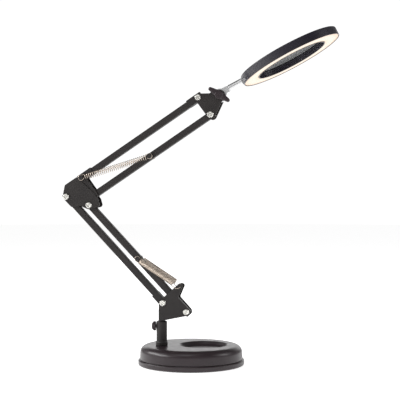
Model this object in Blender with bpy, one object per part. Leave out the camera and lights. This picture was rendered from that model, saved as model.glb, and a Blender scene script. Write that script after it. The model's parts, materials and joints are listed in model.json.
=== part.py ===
"""Magnifying lamp: a ring light with a lens on a spring-balanced double-bar arm and a weighted base.

The arms lie in one vertical plane parallel to XZ, and every arm hinge turns about Y. The origin is
the centre of the base's underside. Lengths are metres; MM turns millimetres into metres.
"""

from collections import namedtuple
from math import asin, atan2, cos, pi, radians, sin, tan

import bmesh
import bpy
from mathutils import Matrix, Vector

MM = 0.001
GAP = 0.3 * MM  # clearance between two pieces that touch on the real lamp

# Base
BASE_RADIUS = 80.0 * MM
BASE_HEIGHT = 30.0 * MM
RIM_TOP = 8.8 * MM
COVER_RADIUS = 77.5 * MM
COVER_WALL = 2.5 * MM
SHOULDER = 10.0 * MM
DISH_RADIUS = 36.8 * MM
DISH_DEPTH = 6.0 * MM
DISH_OFFSET = 18.6 * MM
POST_OFFSET = 44.8 * MM
BASE_TURN = radians(17.0)  # the line from post to dish, from +X
BASE_SCREW_CIRCLE = 63.0 * MM

# Post socket and its clamp
SOCKET_RADIUS = 8.0 * MM
SOCKET_TOP = 66.8 * MM
SPIGOT_RADIUS = 5.0 * MM
CLAMP_HEIGHT = 59.0 * MM

# Square tubes of the arms
TUBE = 10.0 * MM
TUBE_WALL = 1.0 * MM
TUBE_CORNER = 1.2 * MM
TUBE_END = 6.0 * MM  # from a pivot to the end of its tube
SADDLE_WALL = 1.1 * MM
SADDLE_REACH = 18.5 * MM  # from a pivot along the tube

# Sheet-steel cheeks, measured from the plane of the arms
CHEEK_INNER = 8.2 * MM
CHEEK_OUTER = 9.4 * MM
LINK_INNER = 6.7 * MM
LINK_OUTER = 7.9 * MM

# Pivot pins and screws
PIN_RADIUS = 2.0 * MM
PIN_HOLE = PIN_RADIUS + GAP
SLEEVE_RADIUS = 3.2 * MM
SLEEVE_HOLE = SLEEVE_RADIUS + GAP
HEAD_RADIUS = 4.85 * MM

# Lengths and rest angles of the two parallelograms, from +X towards +Z
LOWER_LENGTH = 219.0 * MM
LOWER_ANGLE = radians(133.2)
UPPER_LENGTH = 215.0 * MM
UPPER_ANGLE = radians(33.7)
LOWER_PEG_REACH = 108.0 * MM  # spring peg from the front bar's lower pivot
UPPER_PEG_REACH = 104.5 * MM  # spring peg from the bottom bar's lower pivot

# Magnifier head
HEAD_ANGLE = radians(27.3)
RING_RADIUS = 78.5 * MM
RING_OPENING = 53.5 * MM
RING_HALF = 6.5 * MM
RING_DISTANCE = 117.5 * MM  # from the tilt hinge to the ring's centre
RING_RISE = 2.2 * MM
STEM_RISE = 3.0 * MM
STEM_RADIUS = 5.4 * MM
LENS_RADIUS = 53.1 * MM
LENS_LOW = 2.4 * MM  # the flat face, from the ring's middle
LENS_EDGE = 2.0 * MM
LENS_BULGE = 4.4 * MM

ROUND_BIG = 40
ROUND_MEDIUM = 24
ROUND_SMALL = 12

FRONT = Matrix.Rotation(radians(90), 4, "X")  # local (x, y, h) to (x, -h, y): h points to the front
ALONG = Matrix.Rotation(radians(90), 4, "Y")  # local h to +X


def along(angle):
    """Unit vector in the plane of the arms."""
    return Vector((cos(angle), 0.0, sin(angle)))


def mm(x, z):
    """Point (x, z) of the plane of the arms, from millimetres."""
    return Vector((x * MM, 0.0, z * MM))


POST = Vector((-POST_OFFSET * cos(BASE_TURN), -POST_OFFSET * sin(BASE_TURN), 0.0))
DISH = Vector((DISH_OFFSET * cos(BASE_TURN), DISH_OFFSET * sin(BASE_TURN), 0.0))
PLANE = Vector((0.0, POST.y, 0.0))  # the plane of the arms passes through the post

# Pivots, in the plane of the arms
LOWER_LINK = mm(35.6, -13.1)
UPPER_LINK = mm(18.7, -25.85)
PIVOT_A = mm(-39.6, 94.5)
PIVOT_B = PIVOT_A + LOWER_LINK
PIVOT_C = PIVOT_A + LOWER_LENGTH * along(LOWER_ANGLE)
PIVOT_D = PIVOT_C + LOWER_LINK
PIVOT_E = mm(13.8, 402.0)
PIVOT_F = PIVOT_E + UPPER_LINK
PIVOT_P = PIVOT_E - UPPER_LENGTH * along(UPPER_ANGLE)
PIVOT_Q = PIVOT_P + UPPER_LINK
TILT = mm(46.4, 404.9)
LOWER_HOOK = mm(-13.8, 118.4)

LOWER_PEG = PIVOT_B + LOWER_PEG_REACH * along(LOWER_ANGLE)
UPPER_PEG = PIVOT_Q + UPPER_PEG_REACH * along(UPPER_ANGLE)

Finish = namedtuple("Finish", "colour roughness metallic alpha glow")
BLACK_STEEL = Finish((0.030, 0.028, 0.027), 0.55, 0.0, 1.0, 0.0)
BLACK_PLASTIC = Finish((0.022, 0.021, 0.022), 0.30, 0.0, 1.0, 0.0)
RING_PLASTIC = Finish((0.030, 0.029, 0.036), 0.38, 0.0, 1.0, 0.0)
NICKEL = Finish((0.80, 0.80, 0.77), 0.22, 1.0, 1.0, 0.0)
SPRING_STEEL = Finish((0.72, 0.66, 0.60), 0.30, 1.0, 1.0, 0.0)
ALUMINIUM = Finish((0.85, 0.85, 0.86), 0.20, 1.0, 1.0, 0.0)
IRON = Finish((0.20, 0.20, 0.20), 0.60, 1.0, 1.0, 0.0)
FOAM = Finish((0.035, 0.035, 0.035), 0.95, 0.0, 1.0, 0.0)
NYLON = Finish((0.045, 0.045, 0.045), 0.60, 0.0, 1.0, 0.0)
OPAL = Finish((1.0, 0.93, 0.84), 0.50, 0.0, 1.0, 1.5)
BOARD = Finish((0.85, 0.85, 0.82), 0.45, 0.0, 1.0, 0.0)
GLASS = Finish((0.95, 0.97, 0.96), 0.02, 0.0, 0.25, 0.0)

Body = namedtuple("Body", "empty origin")


# ---------------------------------------------------------------- scene and materials


def clear_scene():
    for old in list(bpy.data.objects):
        bpy.data.objects.remove(old, do_unlink=True)


def material_of(name, finish):
    material = bpy.data.materials.new(name)
    material.use_nodes = True
    shader = material.node_tree.nodes["Principled BSDF"]
    shader.inputs["Base Color"].default_value = (*finish.colour, 1.0)
    shader.inputs["Roughness"].default_value = finish.roughness
    shader.inputs["Metallic"].default_value = finish.metallic
    shader.inputs["Alpha"].default_value = finish.alpha
    shader.inputs["Emission Color"].default_value = (*finish.colour, 1.0)
    shader.inputs["Emission Strength"].default_value = finish.glow
    return material


def new_body(name, origin, parent=None):
    """An empty on the body's joint axis; the body's pieces hang on it."""
    empty = bpy.data.objects.new(name, None)
    bpy.context.collection.objects.link(empty)
    empty.location = origin
    if parent:
        empty.parent = parent.empty
        empty.location = origin - parent.origin
    return Body(empty, origin)


def new_object(name, bm, body, at=None, turn=0.0):
    """Object from a bmesh at the world point `at`, turned about Y so that +X rises by `turn`."""
    bmesh.ops.recalc_face_normals(bm, faces=bm.faces)
    mesh = bpy.data.meshes.new(name)
    bm.to_mesh(mesh)
    bm.free()
    mesh.shade_smooth()
    mesh.set_sharp_from_angle(angle=radians(32))
    obj = bpy.data.objects.new(name, mesh)
    bpy.context.collection.objects.link(obj)
    obj.parent = body.empty
    obj.location = (at if at else body.origin) - body.origin
    obj.rotation_euler = (0.0, -turn, 0.0)
    return obj


def piece(name, bm, finish, body, at=None, turn=0.0):
    """A visible sub-part with its own material."""
    obj = new_object(name, bm, body, at, turn)
    obj.data.materials.append(material_of(name, finish))
    return obj


def tool(name, bm, body, at=None, turn=0.0):
    """A shape that only cuts or joins."""
    obj = new_object(name, bm, body, at, turn)
    obj.hide_render = True
    obj.display_type = "WIRE"
    return obj


def boolean(obj, other, operation="DIFFERENCE"):
    modifier = obj.modifiers.new(other.name, "BOOLEAN")
    modifier.operation = operation
    modifier.solver = "EXACT"
    modifier.object = other


# ---------------------------------------------------------------- shapes


def lathe(bm, profile, sides, place=Matrix(), closed=False):
    """Turn a profile of (radius, height) about the local Z axis.

    An open profile starts and ends on the axis; a closed one makes a ring."""
    rings = []
    for radius, height in profile:
        if radius < 1e-7:
            rings.append([bm.verts.new(place @ Vector((0.0, 0.0, height)))])
            continue
        turns = [2 * pi * i / sides for i in range(sides)]
        points = [Vector((radius * cos(t), radius * sin(t), height)) for t in turns]
        rings.append([bm.verts.new(place @ point) for point in points])
    pairs = list(zip(rings, rings[1:]))
    if closed:
        pairs.append((rings[-1], rings[0]))
    for low, high in pairs:
        for i in range(sides):
            j = (i + 1) % sides
            corners = [low[i % len(low)], low[j % len(low)], high[j % len(high)], high[i % len(high)]]
            bm.faces.new(list(dict.fromkeys(corners)))


def prism(bm, loops, low, high, place=Matrix()):
    """Extrude a flat outline with holes, loops[0] and the rest, from height low to high."""
    twin = {}
    edges = []
    for loop in loops:
        ring = [bm.verts.new(place @ Vector((x, y, low))) for x, y in loop]
        for vert, (x, y) in zip(ring, loop):
            twin[vert] = bm.verts.new(place @ Vector((x, y, high)))
        for a, b in zip(ring, ring[1:] + ring[:1]):
            edges.append(bm.edges.new((a, b)))
            bm.faces.new((a, b, twin[b], twin[a]))
    filled = bmesh.ops.triangle_fill(bm, edges=edges, use_beauty=True)
    for face in [item for item in filled["geom"] if isinstance(item, bmesh.types.BMFace)]:
        bm.faces.new([twin[vert] for vert in reversed(face.verts)])


def cylinder(bm, radius, low, high, sides, place=Matrix()):
    lathe(bm, [(0.0, low), (radius, low), (radius, high), (0.0, high)], sides, place)


def ring(bm, inner, outer, low, high, sides, place=Matrix()):
    lathe(bm, [(inner, low), (outer, low), (outer, high), (inner, high)], sides, place, closed=True)


def box(bm, low, high):
    corners = [(low[0], low[1]), (high[0], low[1]), (high[0], high[1]), (low[0], high[1])]
    prism(bm, [corners], low[2], high[2])


def circle(x, y, radius, sides=ROUND_SMALL):
    turns = [2 * pi * i / sides for i in range(sides)]
    return [(x + radius * cos(t), y + radius * sin(t)) for t in turns]


def rounded(corners, steps=4):
    """Outline through corners (x, y, radius), each one rounded to an arc."""
    outline = []
    for i, (x, y, radius) in enumerate(corners):
        here = Vector((x, y))
        back = (Vector(corners[i - 1][:2]) - here).normalized()
        ahead = (Vector(corners[(i + 1) % len(corners)][:2]) - here).normalized()
        half = back.angle(ahead) / 2
        centre = here + (back + ahead).normalized() * radius / sin(half)
        first = here + back * radius / tan(half) - centre
        last = here + ahead * radius / tan(half) - centre
        start = atan2(first.y, first.x)
        sweep = atan2(first.x * last.y - first.y * last.x, first.dot(last))
        for k in range(steps + 1):
            t = start + sweep * k / steps
            outline.append((centre.x + radius * cos(t), centre.y + radius * sin(t)))
    return outline


def hull_of_circles(circles, steps=6):
    """Outline of a link plate that wraps circles (x, y, radius) given anticlockwise."""
    outline = []
    for i, (x, y, radius) in enumerate(circles):
        before = circles[i - 1]
        after = circles[(i + 1) % len(circles)]
        start = tangent_angle(before, (x, y, radius))
        end = tangent_angle((x, y, radius), after)
        sweep = (end - start) % (2 * pi)
        for k in range(steps + 1):
            t = start + sweep * k / steps
            outline.append((x + radius * cos(t), y + radius * sin(t)))
    return outline


def tangent_angle(first, second):
    """Direction from each centre to where the right-hand tangent of two circles touches them."""
    across = Vector((second[0] - first[0], second[1] - first[1]))
    lean = asin((second[2] - first[2]) / across.length)
    return atan2(across.y, across.x) - pi / 2 - lean


def flat(point, origin):
    """Plane coordinates (x, z) of a point of the plane of the arms, from a body's origin."""
    return (point.x - origin.x, point.z - origin.z)


def outline_mm(corners, origin):
    """Rounded outline from corners (x, z, radius) in millimetres of the plane of the arms."""
    moved = [(x * MM - origin.x, z * MM - origin.z, r * MM) for x, z, r in corners]
    return rounded(moved)


# ---------------------------------------------------------------- base


def base_screw_places():
    for turn in (60, 180, 300):
        angle = BASE_TURN + radians(turn)
        yield BASE_SCREW_CIRCLE * cos(angle), BASE_SCREW_CIRCLE * sin(angle)


def cover_profile(inset):
    """Drafted side, round shoulder and flat top, moved inwards by `inset`."""
    bottom = RIM_TOP + GAP
    side = COVER_RADIUS - 0.8 * MM - inset
    shoulder = SHOULDER - inset
    centre = BASE_HEIGHT - SHOULDER
    profile = [(0.0, bottom), (COVER_RADIUS - inset, bottom)]
    for k in range(6):
        t = radians(18 * k)
        profile.append((side - shoulder + shoulder * cos(t), centre + shoulder * sin(t)))
    return profile + [(0.0, BASE_HEIGHT - inset)]


def dish_profile(wall):
    """Tool dish: flat floor with a round rising wall; `wall` thickens it downwards and outwards."""
    floor_radius = DISH_RADIUS - 8.0 * MM
    lip = BASE_HEIGHT + 1.0 * MM
    reach = 8.0 * MM + wall
    depth = DISH_DEPTH + 1.0 * MM + wall
    profile = [(0.0, lip - depth)]
    for k in range(6):
        t = radians(18 * k)
        profile.append((floor_radius + reach * sin(t), lip - depth * cos(t)))
    return profile + [(floor_radius + reach, lip + 2.0 * MM), (0.0, lip + 2.0 * MM)]


def build_cover(base):
    bm = bmesh.new()
    lathe(bm, cover_profile(0.0), ROUND_BIG)
    cover = piece("base_cover", bm, BLACK_PLASTIC, base)

    bm = bmesh.new()
    lathe(bm, dish_profile(0.0), ROUND_BIG, Matrix.Translation(DISH))
    boolean(cover, tool("dish_tool", bm, base))

    inside = cover_profile(COVER_WALL)
    lowest = [(radius, RIM_TOP - 1.0 * MM) for radius, _ in inside[:2]]
    bm = bmesh.new()
    lathe(bm, lowest + inside[2:], ROUND_BIG)
    cavity = tool("cavity_tool", bm, base)
    bm = bmesh.new()
    lathe(bm, dish_profile(COVER_WALL), ROUND_BIG, Matrix.Translation(DISH))
    boolean(cavity, tool("dish_floor_tool", bm, base))
    bm = bmesh.new()
    for x, y in base_screw_places():
        spot = Matrix.Translation((x, y, 0.0))
        cylinder(bm, 4.5 * MM, 18.3 * MM, 32.0 * MM, ROUND_SMALL, spot)
    boolean(cavity, tool("boss_tool", bm, base))
    boolean(cover, cavity)

    bm = bmesh.new()
    for x, y in base_screw_places():
        spot = Matrix.Translation((x, y, 0.0))
        cylinder(bm, 1.5 * MM + GAP, 17.0 * MM, 26.0 * MM, ROUND_SMALL, spot)
    cylinder(bm, 5.3 * MM, 25.0 * MM, 32.0 * MM, ROUND_SMALL, Matrix.Translation(POST))
    boolean(cover, tool("cover_holes_tool", bm, base))


def build_base(base):
    build_cover(base)
    bm = bmesh.new()
    cylinder(bm, 75.5 * MM, 0.0, 2.0 * MM, ROUND_BIG)
    piece("foot_pad", bm, FOAM, base)

    holes = [circle(x, y, 1.9 * MM, 8) for x, y in base_screw_places()]
    bm = bmesh.new()
    prism(bm, [circle(0, 0, 75.5 * MM, ROUND_BIG)] + holes, 4.0 * MM, 5.5 * MM)
    piece("base_plate", bm, NICKEL, base)
    bm = bmesh.new()
    prism(bm, [circle(0, 0, 69.5 * MM, ROUND_BIG)] + holes, 5.8 * MM, 17.8 * MM)
    piece("base_weight", bm, IRON, base)

    wall = 76.3 * MM
    shelf = 70.0 * MM
    section = [(wall, 0.8 * MM), (79.0 * MM, 0.8 * MM), (BASE_RADIUS, 2.0 * MM)]
    section += [(BASE_RADIUS, 7.6 * MM), (79.0 * MM, RIM_TOP), (shelf, RIM_TOP)]
    section += [(shelf, 5.8 * MM), (wall, 5.8 * MM)]
    bm = bmesh.new()
    lathe(bm, section, ROUND_BIG, closed=True)
    piece("base_rim", bm, BLACK_PLASTIC, base)

    profile = [(0.0, 2.3 * MM), (3.2 * MM, 2.3 * MM), (3.2 * MM, 3.7 * MM)]
    profile += [(1.5 * MM, 3.7 * MM), (1.5 * MM, 25.0 * MM), (0.0, 25.5 * MM)]
    for number, (x, y) in enumerate(base_screw_places(), 1):
        bm = bmesh.new()
        lathe(bm, profile, 10)
        piece(f"base_screw_{number}", bm, NICKEL, base, Vector((x, y, 0.0)))


def build_post(base, clamp):
    foot = BASE_HEIGHT + GAP
    bore = SPIGOT_RADIUS + GAP
    profile = [(0.0, 19.5 * MM), (SPIGOT_RADIUS, 19.5 * MM), (SPIGOT_RADIUS, foot), (9.0 * MM, foot)]
    profile += [(9.0 * MM, 34.6 * MM), (SOCKET_RADIUS, 36.0 * MM), (SOCKET_RADIUS, 64.4 * MM)]
    profile += [(7.3 * MM, 66.2 * MM), (5.9 * MM, SOCKET_TOP), (bore, SOCKET_TOP)]
    profile += [(bore, 37.0 * MM), (0.0, 36.5 * MM)]
    bm = bmesh.new()
    lathe(bm, profile, ROUND_MEDIUM)
    socket = piece("post_socket", bm, BLACK_STEEL, base, POST)
    to_left = Matrix.Translation((0, 0, CLAMP_HEIGHT)) @ Matrix.Rotation(radians(-90), 4, "Y")
    bm = bmesh.new()
    cylinder(bm, 2.5 * MM + GAP, 3.0 * MM, 12.0 * MM, ROUND_SMALL, to_left)
    boolean(socket, tool("clamp_hole_tool", bm, base, POST))

    bm = bmesh.new()
    across_corners = (SPIGOT_RADIUS + GAP) / cos(radians(30))
    ring(bm, across_corners, 9.8 * MM, 21.2 * MM, 27.2 * MM, 6)
    piece("socket_nut", bm, NICKEL, base, POST)

    outward = Matrix.Rotation(radians(-90), 4, "Y")  # local h to -X
    lobes = 6
    outline = []
    for k in range(4 * lobes):
        t = 2 * pi * k / (4 * lobes)
        reach = 6.6 * MM + 0.5 * MM * cos(lobes * t)
        outline.append((reach * cos(t), reach * sin(t)))
    bm = bmesh.new()
    prism(bm, [outline], 8.9 * MM, 13.3 * MM, outward)
    screw = piece("clamp_screw", bm, BLACK_PLASTIC, clamp)
    bm = bmesh.new()
    prism(bm, [[(0.72 * x, 0.72 * y) for x, y in outline]], 13.0 * MM, 14.8 * MM, outward)
    boolean(screw, tool("knob_cap_tool", bm, clamp), "UNION")
    tip = SPIGOT_RADIUS + 0.4 * MM
    profile = [(0.0, tip), (2.0 * MM, tip), (2.5 * MM, tip + 0.5 * MM), (2.5 * MM, 10.0 * MM)]
    bm = bmesh.new()
    lathe(bm, profile + [(0.0, 10.0 * MM)], ROUND_SMALL, outward)
    boolean(screw, tool("clamp_shank_tool", bm, clamp), "UNION")


# ---------------------------------------------------------------- fasteners and small turned pieces


def pivot_bolt(name, pivot, body):
    """Pivot screw along Y with a dished round head at the front and its nut run on at the rear."""
    seat = CHEEK_OUTER + GAP
    crown = seat + 2.2 * MM
    dish = crown - 0.9 * MM
    profile = [(0.0, -seat - 3.8 * MM), (PIN_RADIUS, -seat - 3.8 * MM), (PIN_RADIUS, seat)]
    profile += [(HEAD_RADIUS, seat), (HEAD_RADIUS, dish), (3.7 * MM, crown), (2.6 * MM, crown)]
    profile += [(1.9 * MM, dish), (0.0, dish)]
    bm = bmesh.new()
    lathe(bm, profile, 14, FRONT)
    bolt = piece(name, bm, NICKEL, body, PLANE + pivot)
    bm = bmesh.new()
    cylinder(bm, 4.1 * MM, -seat - 3.2 * MM, -seat, 6, FRONT)
    boolean(bolt, tool(f"{name}_nut_tool", bm, body, PLANE + pivot), "UNION")


def sleeve(name, pivot, half_length, body):
    """Nylon tube around a pivot screw: it keeps the cheeks apart and a bar's ends turn on it."""
    bm = bmesh.new()
    ring(bm, PIN_HOLE, SLEEVE_RADIUS, -half_length, half_length, 10, FRONT)
    piece(name, bm, NYLON, body, PLANE + pivot)


def bolted_pivots(names, pivots, body):
    for name, pivot in zip(names, pivots):
        pivot_bolt(f"pivot_bolt_{name}", pivot, body)
        sleeve(f"sleeve_{name}", pivot, CHEEK_INNER - GAP, body)


def cheek(name, body, outline, holes, near, far, finish=BLACK_STEEL):
    """Sheet-steel plate parallel to the arms; near and far are its heights towards the front."""
    loops = [outline] + [circle(*flat(point, body.origin), radius) for point, radius in holes]
    bm = bmesh.new()
    prism(bm, loops, near, far, FRONT)
    return piece(name, bm, finish, body)


# ---------------------------------------------------------------- turret


TURRET_OUTLINE = [
    (-45.9, 67.3, 0.5),
    (-42.3, 67.3, 0.5),
    (-41.6, 69.0, 0.5),
    (-35.8, 68.9, 2.0),
    (7.3, 77.9, 5.8),
    (-16.1, 103.4, 3.0),
    (-8.0, 122.2, 3.4),
    (-15.0, 124.0, 3.4),
    (-45.6, 96.8, 5.4),
]


def build_turret(turret):
    origin = turret.origin
    outline = outline_mm(TURRET_OUTLINE, origin)
    holes = [(PIVOT_A, PIN_HOLE), (PIVOT_B, PIN_HOLE), (LOWER_HOOK, 1.6 * MM)]
    bracket = cheek("turret_bracket", turret, outline, holes, CHEEK_INNER, CHEEK_OUTER)
    loops = [outline] + [circle(*flat(point, origin), radius) for point, radius in holes]
    bm = bmesh.new()
    prism(bm, loops, -CHEEK_OUTER, -CHEEK_INNER, FRONT)
    boolean(bracket, tool("rear_cheek_tool", bm, turret), "UNION")
    left = -45.9 * MM - origin.x
    bm = bmesh.new()
    low = (left, -CHEEK_OUTER, 70.0 * MM - origin.z)
    high = (left + 1.2 * MM, CHEEK_OUTER, 85.0 * MM - origin.z)
    box(bm, low, high)
    boolean(bracket, tool("web_tool", bm, turret), "UNION")

    bm = bmesh.new()
    top = 69.6 * MM - origin.z
    cylinder(bm, SPIGOT_RADIUS, 38.0 * MM - origin.z, top, ROUND_MEDIUM)
    spigot = piece("spigot", bm, BLACK_STEEL, turret)
    bm = bmesh.new()
    side = CHEEK_INNER - GAP
    low = (left + 1.2 * MM + GAP, -side, 69.0 * MM - origin.z)
    box(bm, low, (-37.2 * MM - origin.x, side, 83.0 * MM - origin.z))
    boolean(spigot, tool("spigot_block_tool", bm, turret), "UNION")

    bolted_pivots("ab", (PIVOT_A, PIVOT_B), turret)


# ---------------------------------------------------------------- arms


def square_outline(half, corner):
    low, high = -half, half
    return rounded([(low, low, corner), (high, low, corner), (high, high, corner), (low, high, corner)], 2)


def bar(name, body, length, angle, peg_reach=None):
    """Hollow square tube from pivot to pivot."""
    loops = [square_outline(TUBE / 2, TUBE_CORNER)]
    loops.append(square_outline(TUBE / 2 - TUBE_WALL, TUBE_CORNER - 0.85 * TUBE_WALL))
    bm = bmesh.new()
    prism(bm, loops, -TUBE_END, length + TUBE_END, ALONG)
    tube = piece(name, bm, BLACK_STEEL, body, turn=angle)

    reaches = {0.0: SLEEVE_HOLE, length: SLEEVE_HOLE}
    if peg_reach:
        reaches[peg_reach] = PIN_HOLE
    bm = bmesh.new()
    for reach, radius in reaches.items():
        spot = Matrix.Translation((reach, 0, 0)) @ FRONT
        cylinder(bm, radius, -8 * MM, 8 * MM, ROUND_SMALL, spot)
    boolean(tube, tool(f"{name}_holes_tool", bm, body, turn=angle))


def saddle(name, body, low, high, angle, pivot_reach):
    """U clip around a tube from reach low to high, its web on the tube's outer side."""
    inner = TUBE / 2 + GAP
    outer = inner + SADDLE_WALL
    foot = -TUBE / 2
    section = [(-outer, foot), (-outer, outer), (outer, outer), (outer, foot)]
    section += [(inner, foot), (inner, inner), (-inner, inner), (-inner, foot)]
    across = Matrix(((0, 0, 1, 0), (1, 0, 0, 0), (0, 1, 0, 0), (0, 0, 0, 1)))
    bm = bmesh.new()
    prism(bm, [section], low, high, across)
    clip = piece(name, bm, BLACK_STEEL, body, turn=angle)
    bm = bmesh.new()
    spot = Matrix.Translation((pivot_reach, 0, 0)) @ FRONT
    cylinder(bm, SLEEVE_HOLE, -8 * MM, 8 * MM, ROUND_SMALL, spot)
    boolean(clip, tool(f"{name}_hole_tool", bm, body, turn=angle))


def peg(bm, reach, loop_at):
    """Rod through a tube; a spring's end loop sits behind each of its two heads."""
    head = loop_at + 1.3 * MM
    end = head + 1.6 * MM
    profile = [(0.0, -end), (2.9 * MM, -end), (3.5 * MM, -end + 0.5 * MM), (3.5 * MM, -head)]
    profile += [(PIN_RADIUS, -head), (PIN_RADIUS, head), (3.5 * MM, head)]
    profile += [(3.5 * MM, end - 0.5 * MM), (2.9 * MM, end), (0.0, end)]
    lathe(bm, profile, ROUND_SMALL, Matrix.Translation((reach, 0, 0)) @ FRONT)


LOWER_SPRING_OFFSET = 10.6 * MM
UPPER_SPRING_OFFSET = 12.4 * MM
LOWER_SPRING_RADIUS = 4.7 * MM
UPPER_SPRING_RADIUS = 3.9 * MM
HOOK_LENGTH = 7.5 * MM


def springs(prefix, body, start, end, offset, radius):
    """Two tension springs, front and rear, as plain bodies of the coil's size with thin ends."""
    across = end - start
    turn = atan2(across.z, across.x)
    length = across.length
    tip = 3.2 * MM
    wire = 0.6 * MM
    profile = [(0.0, tip), (wire, tip), (wire, HOOK_LENGTH), (radius, HOOK_LENGTH)]
    profile += [(radius, length - HOOK_LENGTH), (wire, length - HOOK_LENGTH)]
    profile += [(wire, length - tip), (0.0, length - tip)]
    for side, y in (("front", -offset), ("rear", offset)):
        bm = bmesh.new()
        lathe(bm, profile, 10, Matrix.Translation((0, y, 0)) @ ALONG)
        piece(f"{prefix}_spring_{side}", bm, SPRING_STEEL, body, PLANE + start, turn)


def build_lower_arm(rear, front):
    bar("lower_rear_bar", rear, LOWER_LENGTH, LOWER_ANGLE)
    saddle("lower_rear_saddle", rear, -TUBE_END, SADDLE_REACH, LOWER_ANGLE, 0.0)
    bar("lower_front_bar", front, LOWER_LENGTH, LOWER_ANGLE, LOWER_PEG_REACH)
    bm = bmesh.new()
    peg(bm, LOWER_PEG_REACH, LOWER_SPRING_OFFSET)
    piece("lower_spring_peg", bm, BLACK_STEEL, front, turn=LOWER_ANGLE)
    springs("lower", front, LOWER_HOOK, LOWER_PEG, LOWER_SPRING_OFFSET, LOWER_SPRING_RADIUS)


def build_upper_arm(top, bottom):
    bar("upper_top_bar", top, UPPER_LENGTH, UPPER_ANGLE)
    saddle("upper_saddle_elbow", top, -TUBE_END, SADDLE_REACH, UPPER_ANGLE, 0.0)
    low, high = UPPER_LENGTH - SADDLE_REACH, UPPER_LENGTH + TUBE_END
    saddle("upper_saddle_head", top, low, high, UPPER_ANGLE, UPPER_LENGTH)
    bar("upper_bottom_bar", bottom, UPPER_LENGTH, UPPER_ANGLE, UPPER_PEG_REACH)
    bm = bmesh.new()
    peg(bm, UPPER_PEG_REACH, UPPER_SPRING_OFFSET)
    piece("upper_spring_peg", bm, BLACK_STEEL, bottom, turn=UPPER_ANGLE)
    springs("upper", bottom, PIVOT_P, UPPER_PEG, UPPER_SPRING_OFFSET, UPPER_SPRING_RADIUS)


# ---------------------------------------------------------------- elbow


ELBOW_OUTLINE = [
    (-181.0, 238.0, 4.0),
    (-166.5, 239.8, 2.0),
    (-155.0, 234.6, 5.0),
    (-136.0, 239.0, 4.0),
    (-139.5, 251.0, 6.0),
    (-145.9, 259.3, 4.0),
    (-172.9, 283.7, 1.5),
    (-191.4, 271.6, 2.5),
    (-195.2, 252.6, 5.0),
]
ELBOW_ANCHOR = mm(-176.0, 258.0)  # where the inner links are spot-welded to the cheeks
LINK_ROUND = 5.8 * MM


def build_elbow(elbow):
    outline = outline_mm(ELBOW_OUTLINE, elbow.origin)
    holes = [(PIVOT_C, PIN_HOLE), (PIVOT_D, PIN_HOLE)]
    link = [(*flat(point, elbow.origin), LINK_ROUND) for point in (PIVOT_Q, PIVOT_P, ELBOW_ANCHOR)]
    link_outline = hull_of_circles(link)
    link_holes = [(PIVOT_P, PIN_HOLE), (PIVOT_Q, PIN_HOLE)]
    for side, front in (("front", 1), ("rear", -1)):
        near, far = sorted((front * CHEEK_INNER, front * CHEEK_OUTER))
        cheek(f"elbow_cheek_{side}", elbow, outline, holes, near, far)
        near, far = sorted((front * LINK_INNER, front * LINK_OUTER))
        cheek(f"elbow_link_{side}", elbow, link_outline, link_holes, near, far)
    bolted_pivots("cd", (PIVOT_C, PIVOT_D), elbow)

    bm = bmesh.new()
    cylinder(bm, PIN_RADIUS, -LINK_OUTER, LINK_OUTER, ROUND_SMALL, FRONT)
    piece("elbow_pin", bm, NICKEL, elbow, PLANE + PIVOT_Q)
    bm = bmesh.new()
    peg(bm, 0.0, UPPER_SPRING_OFFSET)
    piece("elbow_spring_pin", bm, BLACK_STEEL, elbow, PLANE + PIVOT_P)
    sleeve("sleeve_p", PIVOT_P, LINK_INNER - GAP, elbow)
    sleeve("sleeve_q", PIVOT_Q, LINK_INNER - GAP, elbow)


# ---------------------------------------------------------------- head bracket and tilt hinge


HEAD_OUTLINE = [
    (2.8, 407.6, 5.6),
    (34.8, 363.4, 6.0),
    (50.6, 397.2, 6.0),
    (55.6, 412.2, 6.0),
    (36.0, 412.2, 4.0),
    (31.5, 407.6, 3.0),
]
BOLT_RADIUS = 3.0 * MM
BOLT_HOLE = BOLT_RADIUS + GAP


def build_head_bracket(bracket):
    outline = outline_mm(HEAD_OUTLINE, bracket.origin)
    holes = [(PIVOT_E, PIN_HOLE), (PIVOT_F, PIN_HOLE), (TILT, BOLT_HOLE)]
    for side, front in (("front", 1), ("rear", -1)):
        near, far = sorted((front * CHEEK_INNER, front * CHEEK_OUTER))
        cheek(f"head_cheek_{side}", bracket, outline, holes, near, far)
    bolted_pivots("ef", (PIVOT_E, PIVOT_F), bracket)

    back = -(CHEEK_OUTER + GAP)
    bm = bmesh.new()
    cylinder(bm, 5.8 * MM, back - 4.0 * MM, back, 6, FRONT)
    bolt = piece("tilt_bolt", bm, NICKEL, bracket, PLANE + TILT)
    bm = bmesh.new()
    cylinder(bm, BOLT_RADIUS, back - 1.0 * MM, 17.0 * MM, ROUND_SMALL, FRONT)
    boolean(bolt, tool("bolt_shank_tool", bm, bracket, PLANE + TILT), "UNION")

    for side, front in (("front", 1), ("rear", -1)):
        low, high = sorted((front * (TUBE / 2 + GAP), front * (CHEEK_INNER - GAP)))
        bm = bmesh.new()
        ring(bm, BOLT_HOLE, 8.0 * MM, low, high, 16, FRONT)
        piece(f"tilt_washer_{side}", bm, NYLON, bracket, PLANE + TILT)


WING_TURN = radians(-33.0)
WING_TIP = (15.6 * MM, 0.0, 2.9 * MM)
WING_ROOT = (4.4 * MM, 3.9 * MM, 0.3 * MM)


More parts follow.
